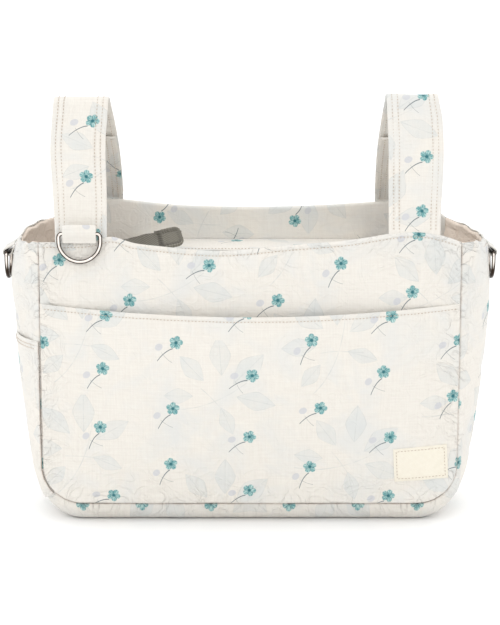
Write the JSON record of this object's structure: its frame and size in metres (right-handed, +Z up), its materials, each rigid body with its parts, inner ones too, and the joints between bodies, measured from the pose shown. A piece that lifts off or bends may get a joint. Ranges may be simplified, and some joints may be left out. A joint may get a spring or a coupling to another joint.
{
  "type": "diaper bag",
  "caption": "Padded cotton organiser bag for a pushchair, with a recessed zip panel, a front pocket, a side pocket, hanging strap loops and D-rings.",
  "frame": {"origin": "on the floor under the bag, midway between the two side seams and between the front and back seams", "axes": "+X to the right as seen from the front, +Y to the back, +Z up; the front pocket faces -Y"},
  "size_m": [0.3802, 0.1477, 0.325],
  "materials": {
    "print_cotton": "quilted printed cotton, matt, off-white",
    "strap_cotton": "heavy cream cotton, matt, stitched edges",
    "lining_cloth": "plain woven lining, matt, warm beige",
    "wadding": "soft polyester wadding",
    "patch_cloth": "plain woven patch, matt, cream, bare",
    "board": "stiff sheet, matt",
    "zip_tape": "woven zip tape, matt, warm grey",
    "zip_tab": "folded cloth tab, matt, dark warm grey",
    "zip_teeth": "moulded teeth, satin, warm grey",
    "zip_metal": "painted slider, satin, warm grey",
    "hook_tape": "woven hook tape, matt, cream",
    "loop_tape": "brushed loop tape, matt, cream",
    "ring_metal": "polished nickel wire"
  },
  "bodies": {
    "bag": {"front_panel": "print_cotton", "back_panel": "print_cotton", "gusset": "print_cotton", "front_pocket": "print_cotton", "side_pocket": "print_cotton", "label_patch": "patch_cloth", "front_wadding": "wadding", "back_wadding": "wadding", "gusset_wadding": "wadding", "front_lining": "lining_cloth", "back_lining": "lining_cloth", "gusset_lining": "lining_cloth", "base_board": "board", "front_facing": "print_cotton", "back_facing": "print_cotton", "left_strap_front": "strap_cotton", "left_strap_back": "strap_cotton", "left_hook_tape": "hook_tape", "right_strap_front": "strap_cotton", "right_strap_back": "strap_cotton", "right_hook_tape": "hook_tape", "front_ring_tab": "strap_cotton", "left_ring_tab": "strap_cotton", "right_ring_tab": "strap_cotton"},
    "front_flap": {"front_zip_flap": "print_cotton", "zip_tape_front": "zip_tape", "zip_teeth_front": "zip_teeth", "zip_bottom_stop": "zip_teeth", "zip_tail": "zip_tape", "zip_end_tab": "zip_tab"},
    "back_flap": {"back_zip_flap": "print_cotton", "zip_tape_back": "zip_tape", "zip_teeth_back": "zip_teeth"},
    "slider": {"zip_slider": "zip_metal"},
    "pull": {"zip_pull": "zip_metal"},
    "left_strap_end": {"left_strap_flap": "strap_cotton", "left_loop_tape": "loop_tape"},
    "right_strap_end": {"right_strap_flap": "strap_cotton", "right_loop_tape": "loop_tape"},
    "front_ring": {"front_d_ring": "ring_metal"},
    "left_ring": {"left_d_ring": "ring_metal"},
    "right_ring": {"right_d_ring": "ring_metal"}
  },
  "joints": [
    {"name": "front_flap_lift", "type": "hinge", "parent": "bag", "child": "front_flap", "pos_m": [0, -0.0543, 0.201], "axis": [1, 0, 0], "range_deg": [0, 60]},
    {"name": "back_flap_lift", "type": "hinge", "parent": "bag", "child": "back_flap", "pos_m": [0, 0.0543, 0.201], "axis": [-1, 0, 0], "range_deg": [0, 60]},
    {"name": "slider_run", "type": "slide", "parent": "front_flap", "child": "slider", "axis": [1, 0, 0], "range_m": [-0.18, 0]},
    {"name": "pull_flip", "type": "hinge", "parent": "slider", "child": "pull", "pos_m": [0.0967, 0, 0.2038], "axis": [0, 1, 0], "range_deg": [0, 170]},
    {"name": "left_strap_open", "type": "hinge", "parent": "bag", "child": "left_strap_end", "pos_m": [-0.1265, -0.00993, 0.31911], "axis": [1, 0, 0], "range_deg": [0, 110]},
    {"name": "right_strap_open", "type": "hinge", "parent": "bag", "child": "right_strap_end", "pos_m": [0.123, -0.00988, 0.32105], "axis": [1, 0, 0], "range_deg": [0, 110]},
    {"name": "front_ring_swing", "type": "hinge", "parent": "bag", "child": "front_ring", "pos_m": [-0.1265, -0.0625, 0.226], "axis": [-1, 0, 0], "range_deg": [0, 150]},
    {"name": "left_ring_swing", "type": "hinge", "parent": "bag", "child": "left_ring", "pos_m": [-0.18707, 0, 0.203], "axis": [0, 1, 0], "range_deg": [0, 150]},
    {"name": "right_ring_swing", "type": "hinge", "parent": "bag", "child": "right_ring", "pos_m": [0.18707, 0, 0.203], "axis": [0, -1, 0], "range_deg": [0, 150]}
  ]
}
